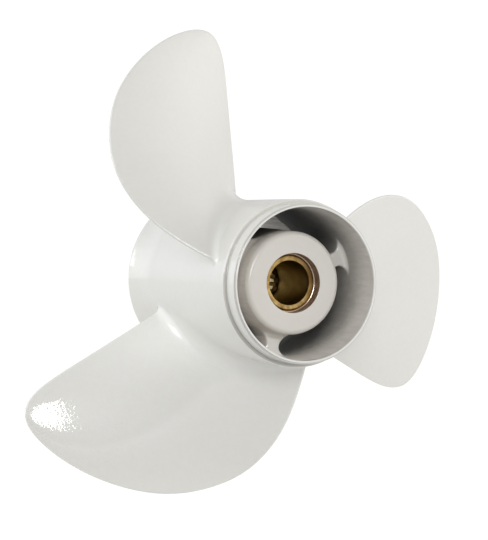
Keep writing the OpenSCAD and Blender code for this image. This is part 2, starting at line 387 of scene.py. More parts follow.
def leaf_loops():
    """Loops joining equal shares of the two edges, and the pole where they meet."""
    loops = []
    even = np.linspace(0, 1, COLUMNS)
    first = np.gradient(curve, axis=0)
    second = np.gradient(first, axis=0)
    bend = (np.abs(first[:, 0] * second[:, 1] - first[:, 1] * second[:, 0])
            / (np.linalg.norm(first, axis=1) ** 3))
    near = 500      # samples searched each side of the outermost one
    pole = int(outermost - near + bend[outermost - near:outermost + near].argmax())
    travel = np.r_[0, np.cumsum(np.linalg.norm(np.diff(curve, axis=0), axis=1))]
    starts = (int(np.argmax(outline_r[:outermost] > LEAF_R)),
              int(outermost + np.argmax(outline_r[outermost:] < LEAF_R)))
    rows = 74
    for k in range(rows):
        done = 1 - (1 - k / rows) ** 1.35
        aft, fore = [travel[i] + (travel[pole] - travel[i]) * done for i in starts]
        r0, a0 = np.interp(aft, travel, outline_r), np.interp(aft, travel, outline_a)
        r1, a1 = np.interp(fore, travel, outline_r), np.interp(fore, travel, outline_a)
        r, angle = r0 + even * (r1 - r0), a0 + even * (a1 - a0)
        line = xyz(r, angle, face_s(r, angle))
        width = float(np.linalg.norm(np.diff(line, axis=0), axis=1).sum())
        share = chord(width)
        loops.append(blade_loop(r0 + share * (r1 - r0), a0 + share * (a1 - a0), share, width))
    return loops, xyz(outline_r[pole], outline_a[pole], face_s(outline_r[pole], outline_a[pole]))


# ------------------------------------------------------ webs and passages
# distances of the columns from a web's flank, across its rounded corner
WEB_STEPS = np.array([0, 0.1, 0.35, 0.75, 1.3])
WEB_INNER = 15
WEB_COLUMNS = 2 * len(WEB_STEPS) + WEB_INNER
PASSAGE_STEPS = 58
WEB_LIFTS = np.linspace(-90, 90, 31)    # rows from hub to wall, spaced by the sine
FRONT_CORNER_S, AFT_CORNER_S = WEB_S + WEB_ROUND, WEB_E - WEB_ROUND


def hub_r(s):
    return HUB_R + (HUB_END_R - HUB_R) * (s - HUB_TAPER_S) / HUB_TAPER_LEN


def wall_r(s):
    return WALL_R - WALL_TAPER * np.clip(s / WALL_TAPER_LEN, 0, 1.1)


def middle_and_half(s):
    """Middle radius and half height of the gap between hub and wall."""
    return (hub_r(s) + wall_r(s)) / 2, (wall_r(s) - hub_r(s)) / 2


def web_half_width(lift):
    """Half width of a web, lift running from -1 at the hub to 1 at the wall."""
    return WEB_HALF_W + WEB_SPREAD * (1 - np.sqrt(np.clip(1 - lift ** 2, 0, 1)))


def web_face(s0, sign):
    """Rows of (radius, angle offset, station) for one web's front or aft face."""
    rows = []
    half = middle_and_half(s0)[1]
    for angle in WEB_LIFTS:
        lift = math.sin(math.radians(angle))
        width = float(web_half_width(lift))
        inner = np.linspace(-(width - WEB_ROUND), width - WEB_ROUND, WEB_INNER + 2)[1:-1]
        across = np.r_[-width + WEB_STEPS, inner, (width - WEB_STEPS)[::-1]]
        x = np.clip((np.abs(across) - (width - WEB_ROUND)) / WEB_ROUND, 0, 1)
        s = s0 + sign * WEB_ROUND * (1 - np.sqrt(np.clip(1 - x * x, 0, 1)))
        fade = 1 - (np.abs(across) / width) ** 4
        for gap, fillet in ((half * (1 + lift), HUB_FILLET), (half * (1 - lift), WALL_FILLET)):
            if gap < fillet:
                rise = math.sqrt(max(fillet * fillet - (fillet - gap) ** 2, 0))
                s = s - sign * fade * (fillet - rise)
        middle, reach = middle_and_half(s)
        r = middle + reach * lift
        rows.append((r, np.degrees(across / r), s))
    return rows


def ring_around(row, passage_s, radius):
    """Points of a full ring: the web columns of a row and the arcs between them."""
    points = []
    r, offset, s = row
    for k in range(3):
        for j in range(WEB_COLUMNS):
            points.append((r[j], WEB_A + 120 * k + offset[j], s[j]))
        a0 = WEB_A + 120 * k + offset[-1]
        a1 = WEB_A + 120 * (k + 1) + offset[0]
        for i in range(1, PASSAGE_STEPS):
            points.append((float(radius(passage_s)), a0 + (a1 - a0) * i / PASSAGE_STEPS, passage_s))
    return points


def add_web_faces(shape, rows):
    for k in range(3):
        shape.loft([[shape.polar(r[j], WEB_A + 120 * k + offset[j], s[j])
                     for j in range(WEB_COLUMNS)] for r, offset, s in rows], closed=False)


def add_passages(shape):
    """The three passages between the webs, from front to aft web corners."""
    lifts = [math.sin(math.radians(angle)) for angle in WEB_LIFTS]
    stations = FRONT_CORNER_S + (WEB_E - WEB_S - 2 * WEB_ROUND) * np.linspace(0, 1, 25)
    for k in range(3):
        def ends(r, width):
            """Angles of the two flanks that face this passage."""
            half = math.degrees(width / r)
            return WEB_A + 120 * k + half, WEB_A + 120 * (k + 1) - half

        def across(r, width, s):
            a0, a1 = ends(r, width)
            return [(r, a0 + (a1 - a0) * i / PASSAGE_STEPS, s) for i in range(1, PASSAGE_STEPS)]

        loops = []
        for s in stations:
            middle, half = middle_and_half(s)
            flank = [(middle + half * lift, web_half_width(lift)) for lift in lifts]
            points = [(r, ends(r, width)[0], s) for r, width in flank]
            points += across(*flank[-1], s)
            points += [(r, ends(r, width)[1], s) for r, width in flank[::-1]]
            points += across(*flank[0], s)[::-1]
            loops.append([shape.polar(*point) for point in points])
        shape.loft(loops)


def eased_rings(shape, target, start_s, radius, shares):
    """Rings between a flat one at start_s and the target's own stations."""
    rings = []
    for t in shares:
        places = [(angle, start_s + (s - start_s) * t) for _, angle, s in target]
        rings.append([shape.polar(float(radius(s)), angle, s) for angle, s in places])
    return rings


# ----------------------------------------------------------------- barrel
# (radius, station) from the mouth outwards: a turned bead, the pilot lip, then
# the step with its relief groove
MOUTH_PROFILE = [
    (49.26, 0.72), (49.34, 0.40), (49.48, 0.15), (49.68, 0.02), (49.9, 0.0), (50.30, 0.0),
    (50.47, 0.03), (50.60, 0.14), (50.66, 0.32), (50.67, 0.60), (50.71, 0.78), (50.84, 0.86),
    (51.15, 0.86), (51.36, 0.88), (51.51, 0.97), (51.59, 1.14), (51.61, 1.45),
    (51.64, 2.2), (51.72, 4.0), (51.85, 6.5), (51.96, 9.0), (52.0, 10.0),
    (51.90, 10.30), (51.84, 10.75), (51.92, 11.10), (52.15, 11.20), (52.7, 11.10)]
# (radius, station) down the ledge inside the barrel, aft of the webs
LEDGE_PROFILE = [(49.28, 79.5), (49.2, 79.25), (49.0, 79.15), (48.75, 79.1), (48.58, 79.05),
                 (48.5, LEDGE_S)]


def add_barrel_front(shape, web_ring, angles):
    """From the webs forward over the mouth to the start of the blade skin."""
    rings = eased_rings(shape, web_ring, MOUTH_S, wall_r, np.linspace(1, 0, 16))
    shoulder = arc(53.30, 12.00, 1.0, -86, -4, 9)
    ends = [(float(barrel_out(s)), s) for s in (13.0, SKIN_S)]
    rings += [shape.ring(r, s, angles) for r, s in MOUTH_PROFILE + shoulder + ends]
    shape.loft(rings)


def barrel_in(s):
    """Inner radius of the barrel aft of the ledge."""
    if s > FLARE_S:
        flare = (s - FLARE_S) / FLARE_LEN
        return FLARE_IN_R + (FLARE_R - RIM_T - FLARE_IN_R) * flare ** FLARE_POWER
    return AFT_WALL_R + AFT_WALL_GROW * (s - AFT_WALL_S) / (FLARE_S - AFT_WALL_S)


def add_barrel_rear(shape, web_ring, angles):
    """The flare, its rim and the inside of the barrel back to the webs."""
    near_rim_s, round_s = LENGTH - 1.2, LENGTH - RIM_ROUND
    outer, inner = float(barrel_out(round_s)), barrel_in(round_s)
    profile = [(float(barrel_out(s)), s) for s in np.linspace(SKIN_E, near_rim_s, 10)]
    profile += arc(outer - RIM_ROUND, round_s, RIM_ROUND, 8, 90, 5)
    profile += [((outer + inner) / 2, LENGTH)]
    profile += arc(inner + RIM_ROUND, round_s, RIM_ROUND, 90, 172, 5)
    profile += [(barrel_in(s), s) for s in np.linspace(near_rim_s, FLARE_S, 14)]
    profile += [(barrel_in(s), s) for s in np.linspace(FLARE_S, 79.9, 20)[1:]]
    rings = [shape.ring(r, s, angles) for r, s in profile + LEDGE_PROFILE]
    rings += eased_rings(shape, web_ring, LEDGE_S, wall_r, (0.5, 1.0))
    shape.loft(rings)


# -------------------------------------------------------------- inner hub
def add_hub(shape, front_ring, aft_ring, angles):
    profile = [(hub_r(HUB_FRONT_S), HUB_FRONT_S)]
    profile += arc(HUB_R - NOSE_ROUND, HUB_S + NOSE_ROUND, NOSE_ROUND, 0, -90, 12)
    profile += [(r, HUB_S) for r in np.linspace(HUB_R - NOSE_ROUND, HOLE_R + 0.45, 8)[1:]]
    # hole, with a broken front edge, then the shoulder and the bore
    profile += [(HOLE_R + 0.2, HUB_S + 0.08), (HOLE_R + 0.06, HUB_S + 0.22), (HOLE_R, HUB_S + 0.5)]
    profile += [(HOLE_R, s) for s in np.linspace(HUB_S + 0.5, SHOULDER_S - 0.2, 8)[1:]]
    profile += [(HOLE_R + 0.2, SHOULDER_S), (BORE_R - 0.3, SHOULDER_S), (BORE_R, SHOULDER_S + 0.3)]
    profile += [(BORE_R, s) for s in np.linspace(SHOULDER_S + 0.3, HUB_E - 1.5, 24)[1:]]
    profile += [(BORE_R + 0.1, HUB_E - 0.9), (BORE_R + 0.5, HUB_E - 0.35),
                (BORE_R + 1.1, HUB_E - 0.05), (BORE_R + 1.8, HUB_E),
                (HUB_END_R - TAIL_ROUND, HUB_E)]
    profile += arc(HUB_END_R - TAIL_ROUND, HUB_E - TAIL_ROUND, TAIL_ROUND, 80, 0, 6)
    rings = eased_rings(shape, front_ring, HUB_FRONT_S, hub_r, np.linspace(1, 0, 8))
    rings += [shape.ring(r, s, angles) for r, s in profile]
    rings += eased_rings(shape, aft_ring, HUB_REAR_S, hub_r, np.linspace(0, 1, 9))
    shape.loft(rings)


# ------------------------------------------- barrel skin round the blades
DEGREE_W = math.radians(1) * 54.0       # length of one degree on the flattened barrel
SKIN_ROWS, SKIN_COLUMNS, FOOT_GAP = 61, 56, 1.3


def inside(points, polygon):
    x, y = points[:, 0][:, None], points[:, 1][:, None]
    x0, y0 = polygon[:, 0][None], polygon[:, 1][None]
    x1, y1 = np.roll(polygon[:, 0], -1)[None], np.roll(polygon[:, 1], -1)[None]
    rise = np.where(y1 == y0, 1e-9, y1 - y0)
    hit = ((y0 > y) != (y1 > y)) & (x < (x1 - x0) * (y - y0) / rise + x0)
    return hit.sum(1) % 2 == 1


def skin_plan(foot, ring_angles):
    """Triangulate a third of the barrel round one blade's foot.

    Returns the (angle, station) places, the index range of the foot's places
    and the triangles.
    """
    turns = np.array(ring_angles) % 360
    seam_front = turns[np.abs(turns - SEAM_FRONT_A).argmin()]
    seam_rear = turns[np.abs(turns - SEAM_REAR_A).argmin()]
    foot_a = np.degrees(np.unwrap(np.arctan2(foot[:, 2], foot[:, 0])))
    foot_s = foot[:, 1]
    places = []

    def add(angle, s):
        places.append((angle, s))
        return len(places) - 1

    def third(start):
        """The ring's angles from start to start + 120, both included."""
        steps = sorted((angle - start) % 360.0 for angle in turns)
        return [start + x for x in steps if x < 119.999] + [start + 120.0]

    def seam(s):
        return seam_front + (seam_rear - seam_front) * (s - SKIN_S) / (SKIN_E - SKIN_S)

    rows = np.linspace(SKIN_S, SKIN_E, SKIN_ROWS + 1)[1:-1]
    front = [add(angle, SKIN_S) for angle in third(seam_front)]
    rear = [add(angle, SKIN_E) for angle in third(seam_rear)]
    low = [front[0]] + [add(float(seam(s)), s) for s in rows] + [rear[0]]
    high = [front[-1]] + [add(float(seam(s)) + 120, s) for s in rows] + [rear[-1]]
    borders = (front, rear, low, high)
    edges = [pair for line in borders for pair in zip(line, line[1:])]
    rim = [add(float(angle), float(s)) for angle, s in zip(foot_a, foot_s)]
    edges += list(zip(rim, rim[1:] + rim[:1]))
    polygon = np.c_[foot_a * DEGREE_W, foot_s]

    # staggered rows of inner points, clear of the foot
    inner = []
    for row, s in enumerate(rows):
        stagger = 0.5 if row % 2 else 0.0
        for i in range(1, SKIN_COLUMNS):
            inner.append((seam(s) + 120.0 * (i + stagger - 0.25) / SKIN_COLUMNS, s))
    inner = np.array(inner)
    flat = np.c_[inner[:, 0] * DEGREE_W, inner[:, 1]]
    clearance = np.sqrt(((flat[:, None] - polygon[None]) ** 2).sum(-1)).min(1)
    for angle, s in inner[~inside(flat, polygon) & (clearance > FOOT_GAP)]:
        add(float(angle), float(s))

    flat_places = [Vector((angle * DEGREE_W, s)) for angle, s in places]
    verts, _, tris, origins, _, _ = delaunay_2d_cdt(flat_places, edges, [], 0, 1e-6)
    centres = np.array([[sum(verts[i][axis] for i in tri) / 3 for axis in (0, 1)] for tri in tris])
    kept = [tuple(origins[i][0] for i in tri)
            for tri, under in zip(tris, inside(centres, polygon)) if not under]
    lines = [set(line) for line in borders]
    kept = [tri for tri in kept if not any(set(tri) <= line for line in lines)]
    return places, range(rim[0], rim[-1] + 1), kept


def add_blades(shape, ring_angles):
    """The three blades and the barrel skin between them."""
    leaf, pole = leaf_loops()
    loops = root_loops() + leaf
    places, rim, triangles = skin_plan(loops[0], ring_angles)
    for turn in (0.0, 120.0, 240.0):
        cos, sin = math.cos(math.radians(turn)), math.sin(math.radians(turn))

        def turned(point):
            x, s, z = point
            return shape.vertex(x * cos - z * sin, s, x * sin + z * cos)

        last = [turned(point) for point in loops[0]]
        corners = []
        for n, (angle, s) in enumerate(places):
            if n in rim:
                corners.append(last[n - rim.start])
            else:
                corners.append(shape.polar(float(barrel_out(s)), angle + turn, s))
        for triangle in triangles:
            shape.face(*[corners[i] for i in triangle])
        for loop in loops[1:]:
            following = [turned(point) for point in loop]
            shape.strip(last, following)
            last = following
        tip = turned(pole)
        for i in range(len(last)):
            shape.face(last[i], last[(i + 1) % len(last)], tip)


def build_casting():
    shape = Shape()
    front, aft = web_face(WEB_S, 1), web_face(WEB_E, -1)
    wall_front = ring_around(front[-1], FRONT_CORNER_S, wall_r)
    hub_front = ring_around(front[0], FRONT_CORNER_S, hub_r)
    wall_aft = ring_around(aft[-1], AFT_CORNER_S, wall_r)
    hub_aft = ring_around(aft[0], AFT_CORNER_S, hub_r)
    wall_angles = [point[1] for point in wall_front]
    hub_angles = [point[1] for point in hub_front]
    add_web_faces(shape, front)
    add_web_faces(shape, aft)
    add_passages(shape)
    add_barrel_front(shape, wall_front, wall_angles)
    add_barrel_rear(shape, wall_aft, wall_angles)
    add_hub(shape, hub_front, hub_aft, hub_angles)
    add_blades(shape, wall_angles)
    return shape


# ----------------------------------------------------------- brass sleeve
TEETH, TOOTH_STEPS = 15, 24
PILOT_R, TOOTH_R, GROOVE_R = 14.4, 11.4, 12.9
SPLINE_S = SLEEVE_S + 46.0
# the face falls away in a bevel to a thin turned bead at the outer edge:
# (radius from the sleeve's outside, station from its front)
SLEEVE_BEAD = [
    (-1.7, 0.05), (-1.35, 0.27), (-0.95, 0.66), (-0.60, 1.08), (-0.44, 1.30), (-0.32, 1.31),
    (-0.20, 1.24), (-0.08, 1.13), (0.04, 1.09), (0.14, 1.15), (0.19, 1.32), (0.17, 1.6),
    (0.06, 1.9), (0, 2.3)]


def spline_r(angle):
    """Radius of the spline: teeth point inwards."""
    x = abs(((angle * TEETH / 360.0 + 0.5) % 1.0) - 0.5) * 2  # 0 mid tooth, 1 mid groove
    t = min(max((x - 0.40) / 0.20, 0.0), 1.0)
    t = t * t * (3 - 2 * t)
    return TOOTH_R + (GROOVE_R - TOOTH_R) * t


def build_sleeve():
    shape = Shape()
    count = TEETH * TOOTH_STEPS
    angles = [360.0 * i / count for i in range(count)]
    end_r, end_s = GROOVE_R + 0.6, SLEEVE_E - 0.15
    profile = [(PILOT_R, s) for s in np.linspace(SPLINE_S - 2.2, SLEEVE_S + 0.5, 14)]
    profile += [(PILOT_R + 0.1, SLEEVE_S + 0.2), (PILOT_R + 0.3, SLEEVE_S + 0.05),
                (PILOT_R + 0.55, SLEEVE_S)]
    profile += [(r, SLEEVE_S) for r in np.linspace(PILOT_R + 0.55, SLEEVE_R - 2.0, 5)[1:]]
    profile += [(SLEEVE_R + r, SLEEVE_S + s) for r, s in SLEEVE_BEAD]
    profile += [(SLEEVE_R, s) for s in np.linspace(SLEEVE_S + 2.3, SLEEVE_E - 1.2, 20)[1:]]
    profile += [(SLEEVE_R - 0.05, SLEEVE_E - 0.92), (SLEEVE_R - 0.2, SLEEVE_E - 0.72),
                (SLEEVE_R - 0.9, SLEEVE_E - 0.06), (SLEEVE_R - 1.1, SLEEVE_E),
                (GROOVE_R + 0.9, SLEEVE_E), (GROOVE_R + 0.7, SLEEVE_E - 0.04), (end_r, end_s)]
    rings = [shape.ring(r, s, angles) for r, s in profile]
    # chamfered spline ends: the cone meets each tooth and groove at its own depth
    radii = [spline_r(angle) for angle in angles]
    aft = [end_s - 1.1 * (end_r - r) for r in radii]
    fore = [SPLINE_S - 2.0 + (PILOT_R - r) * 0.76 for r in radii]
    for t in np.linspace(0, 1, 14):
        rings.append([shape.polar(r, angle, start + (end - start) * t)
                      for r, angle, start, end in zip(radii, angles, aft, fore)])
    rings.append(shape.ring(PILOT_R - 0.05, SPLINE_S - 2.0, angles))
    shape.loft(rings + [rings[0]])
    return shape


# --------------------------------------------------------- rubber cushion
def build_rubber():
    shape = Shape()
    angles = [i * 2.0 for i in range(180)]
    inner, outer, corner = SLEEVE_R + 0.05, RUBBER_R, 1.5

    def face_r(t):
        return inner + 0.5 + (outer - inner - 2.2) * t

    profile = [(inner, RUBBER_S + 2.2), (inner + 0.15, RUBBER_S + 1.7),
               (inner + 0.5, RUBBER_S + 1.35)]
    for t in np.linspace(0.1, 0.9, 9):
        wave = math.sin(math.pi * t)
        profile.append((face_r(t), RUBBER_S + 1.35 - 0.75 * wave ** 0.8 - 0.6 * t + 0.2 * wave))
    profile += arc(outer - corner, RUBBER_S + corner, corner, -90, 0, 6)
    profile += [(outer, s) for s in np.linspace(RUBBER_S + corner, RUBBER_E - corner, 41)[1:-1]]
    profile += arc(outer - corner, RUBBER_E - corner, corner, 0, 90, 6)
    for t in np.linspace(0.9, 0.1, 9):
        wave = math.sin(math.pi * t)
        profile.append((face_r(t), RUBBER_E - 1.8 + 1.0 * wave ** 0.8 * 0.4 + 1.2 * t))
    profile += [(inner + 0.5, RUBBER_E - 1.95), (inner + 0.15, RUBBER_E - 2.2),
                (inner, RUBBER_E - 2.7)]
    profile += [(inner, s) for s in np.linspace(RUBBER_E - 2.7, RUBBER_S + 2.2, 20)[1:-1]]
    rings = [shape.ring(r, s, angles) for r, s in profile]
    shape.loft(rings + [rings[0]])
    return shape


# ------------------------------------------------------------ node graphs
class Graph:
    """A node tree with short calls for the nodes used here.

    Any input may be given a socket, which is linked, or a plain value.
    """

    def __init__(self, tree):
        self.tree = tree

    def feed(self, socket, value):
        if isinstance(value, bpy.types.NodeSocket):
            self.tree.links.new(value, socket)
        elif socket.type == "RGBA" and len(value) == 3:
            socket.default_value = (*value, 1.0)
        else:
            socket.default_value = value

    def node(self, kind, inputs=None, **settings):
        node = self.tree.nodes.new("ShaderNode" + kind)
        for key, value in settings.items():
            setattr(node, key, value)
        for key, value in (inputs or {}).items():
            self.feed(node.inputs[key], value)
        return node

    def math(self, operation, *values, clamp=False):
        inputs = dict(enumerate(values))
        return self.node("Math", inputs, operation=operation, use_clamp=clamp).outputs[0]

    def add(self, a, b, clamp=False):
        return self.math("ADD", a, b, clamp=clamp)

    def sub(self, a, b, clamp=False):
        return self.math("SUBTRACT", a, b, clamp=clamp)

    def mul(self, a, b, clamp=False):
        return self.math("MULTIPLY", a, b, clamp=clamp)

    def div(self, a, b):
        return self.math("DIVIDE", a, b)

    def max(self, a, b):
        return self.math("MAXIMUM", a, b)

    def above(self, value, limit):
        return self.math("GREATER_THAN", value, limit)

    def below(self, value, limit):
        return self.math("LESS_THAN", value, limit)

    def band(self, value, low, high):
        """1 where low < value < high."""
        return self.mul(self.above(value, low), self.below(value, high))

    def vector(self, operation, *values):
        return self.node("VectorMath", dict(enumerate(values)), operation=operation)

    def split(self, vector):
        return self.node("SeparateXYZ", {0: vector}).outputs

    def position(self):
        return self.node("TexCoord").outputs["Object"]

    def cylinder(self):
        """Position, radius from the shaft axis and place along it, in metres."""
        position = self.position()
        x, y, z = self.split(position)
        radius = self.math("SQRT", self.add(self.mul(x, x), self.mul(z, z)))
        return position, radius, y

    def ramp(self, value, *stops):
        """A two-stop colour ramp; each stop is (position, colour)."""
        node = self.node("ValToRGB", {0: value})
        for element, (place, colour) in zip(node.color_ramp.elements, stops):
            element.position = place
            element.color = (*colour, 1.0)
        return node.outputs[0]

    def mix(self, share, a, b, mode="MIX"):
        inputs = {0: share, 6: a, 7: b}
        return self.node("Mix", inputs, data_type="RGBA", blend_type=mode).outputs[2]

    def tint(self, share, colour, by):
        """Multiply a colour by another, as far as share says."""
        return self.mix(share, colour, self.mix(1.0, colour, by, "MULTIPLY"))

    def noise(self, vector, scale, detail=3.0, rough=0.5):
        inputs = {"Scale": scale, "Detail": detail, "Roughness": rough, "Vector": vector}
        return self.node("TexNoise", inputs).outputs[0]

    def bump(self, height, strength, distance, normal=None):
        inputs = {"Strength": strength, "Distance": distance, "Height": height}
        if normal is not None:
            inputs["Normal"] = normal
        return self.node("Bump", inputs).outputs[0]


def new_material(name):
    material = bpy.data.materials.new(name)
    material.use_nodes = True
    material.node_tree.nodes.clear()
    return material, Graph(material.node_tree)


def grey(value):
    return (value, value, value)


# ----------------------------------------------------------------- enamel
def at_station(s):
    """Place along the shaft axis in metres, as shaders see it."""
    return (s - ORIGIN_S) * MM


def enamel_places(g):
    """Coordinates, noises and masks shared by the enamel's layers."""
    at = SimpleNamespace()
    at.position, at.radius, at.along = g.cylinder()
    at.normal = g.split(g.node("NewGeometry").outputs["Normal"])
    at.streak = g.noise(at.position, scale=90.0, detail=5.0, rough=0.6)
    wobble = g.mul(g.sub(at.streak, 0.5), 0.016)
    at.wavy = g.add(at.along, wobble)
    at.x, _, at.z = g.split(at.position)
    at.height = g.div(at.z, at.radius)      # +1 straight above the axis, -1 below
    drawn_out = g.vector("MULTIPLY", at.position, (1.0, 0.16, 1.0)).outputs[0]
    at.grain = g.noise(drawn_out, scale=420.0, detail=4.0, rough=0.62)
    at.faces_out = g.mul(at.normal[1], -1.6, clamp=True)     # 1 on forward-facing surfaces
    at.on_hub = g.below(at.radius, 0.0375)
    at.on_wall = g.sub(1.0, at.on_hub)

    # surfaces within the barrel, including the inside of the flare
    outward = g.add(g.mul(at.normal[0], at.x), g.mul(at.normal[2], at.z))
    inward = g.below(outward, g.mul(at.radius, -0.3))
    in_flare = g.mul(inward, g.above(at.along, at_station(100.0)))
    in_flare = g.mul(in_flare, g.below(at.radius, 0.058))
    within = g.max(g.below(at.radius, 0.0504), in_flare)
    at.within = g.mul(within, g.sub(1.0, at.faces_out))
    return at


def ease(g, at, start, end):
    """Smooth 0 to 1 between two wavy stations."""
    inputs = {}
    for key, s in (("From Min", start), ("From Max", end)):
        is_number = isinstance(s, (int, float))
        inputs[key] = at_station(s) if is_number else g.mul(g.sub(s, ORIGIN_S), MM)
    inputs["Value"] = at.wavy
    return g.node("MapRange", inputs, interpolation_type="SMOOTHSTEP").outputs[0]


def thin_paint_and_shade(g, at):
    """Mask of the deep walls the spray doesn't reach, shaped by side and height to paint the shade inside
    the barrel.

    The paint comes back aft of the ledge behind the webs.
    """
    height_squared = g.mul(at.height, at.height)

    def by_height(base, slope, bend):
        return g.add(g.mul(at.height, slope), g.add(base, g.mul(height_squared, bend)))

    # shift of the thinning, in mm: forward towards +X below the axis, aft towards -X; these shifts follow
    # where shade falls, so they are painted shade
    minus_x = g.max(g.div(g.mul(at.x, -26.0), at.radius), 0.0)
    diagonal = g.div(g.mul(at.x, at.z), g.mul(at.radius, at.radius))
    low_plus_x = g.mul(g.math("MINIMUM", diagonal, 0.0), g.above(at.x, 0.0))
    shift = g.add(minus_x, g.mul(low_plus_x, 24.0))
    wall = ease(g, at, start=g.add(by_height(base=8.0, slope=-27.0, bend=-4.0), shift),
                end=g.add(by_height(base=66.0, slope=0.0, bend=-2.0), shift))
    regained = g.mul(ease(g, at, start=94.0, end=97.5), g.add(0.29, g.mul(at.grain, 0.64)))
    # on the hub the thinning and painted shade start further forward above the axis
    above_axis = g.max(at.height, 0.0)
    hub = ease(g, at, start=g.sub(30.0, g.mul(above_axis, 10.0)),
               end=g.sub(57.0, g.mul(above_axis, 19.0)))
    thin_and_shade = g.add(g.mul(hub, at.on_hub), g.mul(g.mul(wall, g.sub(1.0, regained)), at.on_wall))
    return g.mul(thin_and_shade, at.within)


def step_and_bead_shade(g, at, mottle):
    """Mask of painted shade in the foot of the step and behind the bead of the mouth."""
    foot = g.mul(g.band(at.along, at_station(10.1), at_station(11.3)),
                 g.band(at.radius, 0.0515, 0.0543))
    bead = g.mul(g.band(at.along, at_station(0.35), at_station(1.3)),
                 g.band(at.radius, 0.05063, 0.0516))
    # the painted shade at the step's foot fades towards the top, where light reaches it
    foot = g.mul(foot, g.sub(0.58, g.mul(at.height, 0.8), clamp=True))
    shade_mask = g.max(foot, g.mul(bead, 0.8))
    return g.mul(shade_mask, g.add(0.25, mottle, clamp=True))


def paint_colour(g, at, mottle, fine):
    colour = g.ramp(mottle, (0.3, (0.795, 0.787, 0.748)), (0.7, (0.825, 0.817, 0.780)))
    fleck = g.ramp(fine, (0.35, (0.785, 0.777, 0.738)), (0.65, (0.835, 0.828, 0.792)))
    colour = g.mix(0.25, colour, fleck)
    thin_and_shade = thin_paint_and_shade(g, at)
    # painted shade: the walls within the barrel are darkened and warmed
    colour = g.tint(at.within, colour, (0.945, 0.918, 0.902))
    # dark cast metal shows through where the paint thins, and also stands in for painted shade on the
    # deep walls; it is painted paler below the axis, where light reaches the lower wall
    metal_with_painted_light = g.ramp(at.streak, (0.3, (0.050, 0.048, 0.046)), (0.7, (0.085, 0.082, 0.079)))
    lower = g.sub(0.5, g.mul(at.height, 0.5), clamp=True)
    metal_with_painted_light = g.mix(lower, metal_with_painted_light, (0.185, 0.18, 0.174))
    colour = g.mix(thin_and_shade, colour, metal_with_painted_light)
    # fine draw marks of the casting along the inner walls
    marks = g.ramp(at.grain, (0.32, grey(0.91)), (0.68, grey(1.07)))
    colour = g.tint(g.mul(at.within, 0.8), colour, marks)
    # painted shade in the foot of the step and behind the mouth's bead
    colour = g.tint(step_and_bead_shade(g, at, mottle), colour, (0.58, 0.575, 0.555))
    # painted shade: the inner hub's forward-facing surfaces, recessed in the barrel, are darkened and
    # made a shade warmer than the blades
    colour = g.tint(g.mul(at.on_hub, at.faces_out), colour, (0.872, 0.849, 0.830))
    # painted shade: the colour is darkened by ambient occlusion in the corners, outside the barrel
    hidden = g.node("AmbientOcclusion", {"Distance": 0.040}, samples=6).outputs["AO"]
    corner = g.ramp(hidden, (0.25, (0.74, 0.735, 0.71)), (0.9, grey(1.0)))
    colour = g.tint(g.above(at.radius, 0.0505), colour, corner)
    # the webs' front faces carry the thickest paint
    web_front = g.mul(g.mul(at.faces_out, at.on_wall), g.below(at.radius, 0.0490))
    return g.mix(web_front, colour, (0.775, 0.757, 0.722))


def enamel():
    material, g = new_material("offwhite_enamel")
    at = enamel_places(g)
    mottle = g.noise(at.position, scale=14.0, detail=4.0, rough=0.55)
    fine = g.noise(at.position, scale=260.0)
    peel = g.noise(at.position, scale=520.0, detail=2.0, rough=0.45)
    dust = g.noise(at.position, scale=2200.0, detail=1.0)
    paint = paint_colour(g, at, mottle, fine)

    # bare cast metal in the machined hole of the inner hub and inside its bore, tinted reddish brown as a
    # painted reflection of the brass sleeve
    in_hole = g.below(at.radius, (HOLE_R + 0.12) * MM)
    in_bore = g.mul(g.below(at.radius, (BORE_R + 0.3) * MM),
                    g.above(at.along, at_station(SHOULDER_S - 1.0)))
    bare = g.max(in_hole, in_bore)
    metal_with_painted_light = g.ramp(fine, (0.3, (0.37, 0.27, 0.20)), (0.7, (0.62, 0.475, 0.37)))
    turning = g.node("TexWave", {"Scale": 900.0, "Distortion": 0.6, "Vector": at.position},
                     wave_type="BANDS", bands_direction="Y").outputs[0]

    # the paint within the barrel is dull; elsewhere a clear gloss coat lies on
    # it, seen by the camera only and weaker on the hub
    dull = g.mul(at.within, ease(g, at, start=-4, end=9))
    rough = g.add(g.add(0.34, g.mul(fine, 0.10)), g.mul(dull, 0.3))
    gloss = g.sub(g.sub(1.0, bare), dull, clamp=True)
    gloss = g.mul(gloss, g.sub(1.0, g.mul(at.on_hub, 0.6)))
    gloss = g.mul(gloss, g.node("LightPath").outputs["Is Camera Ray"])
    peel_bump = g.bump(peel, strength=0.22, distance=0.0002)
    dust_bump = g.bump(dust, strength=0.05, distance=0.00008, normal=peel_bump)
    surface = g.node("BsdfPrincipled", {
        "Base Color": g.mix(bare, paint, metal_with_painted_light),
        "Metallic": bare,
        "Roughness": rough,
        "Specular IOR Level": g.sub(0.5, g.mul(dull, 0.3)),
        "Coat Weight": gloss,
        "Coat Roughness": 0.03,
        "Coat IOR": 1.75,
        "Normal": g.bump(g.mul(turning, bare), strength=0.25, distance=0.0001, normal=dust_bump),
        "Coat Normal": peel_bump,
    })
    g.node("OutputMaterial", {0: surface.outputs[0]})
    return material


